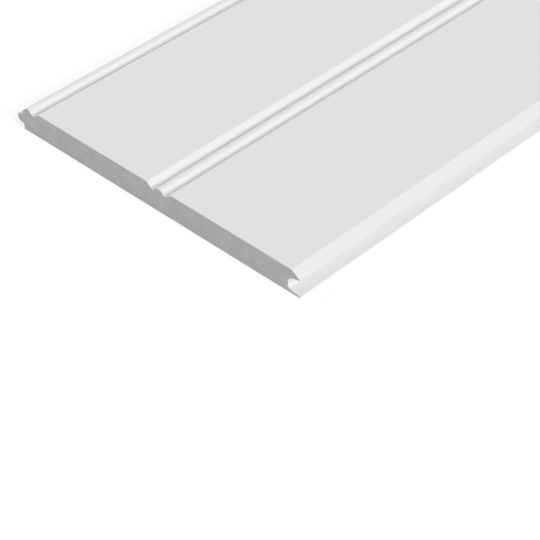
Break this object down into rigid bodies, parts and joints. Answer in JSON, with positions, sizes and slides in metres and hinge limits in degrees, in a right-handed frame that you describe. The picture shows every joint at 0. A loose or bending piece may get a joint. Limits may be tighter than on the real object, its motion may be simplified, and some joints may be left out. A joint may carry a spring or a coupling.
{
  "type": "tongue and groove board",
  "caption": "Beaded tongue and groove panelling board: V-jointed face with an edge and a centre bead, a round tongue on one edge and a tapered groove in the other.",
  "frame": {"origin": "centre of the back face, midway between the tongue's tip and the lower lip's end and midway along the length", "axes": "+X across the board from the tongue to the groove, +Y along its length, +Z out of the beaded face"},
  "size_m": [0.1318, 0.8128, 0.0095],
  "materials": {
    "board": "smooth matte white, the same on the moulded faces and the sawn ends"
  },
  "bodies": {
    "root": {"board": "board"}
  },
  "joints": []
}
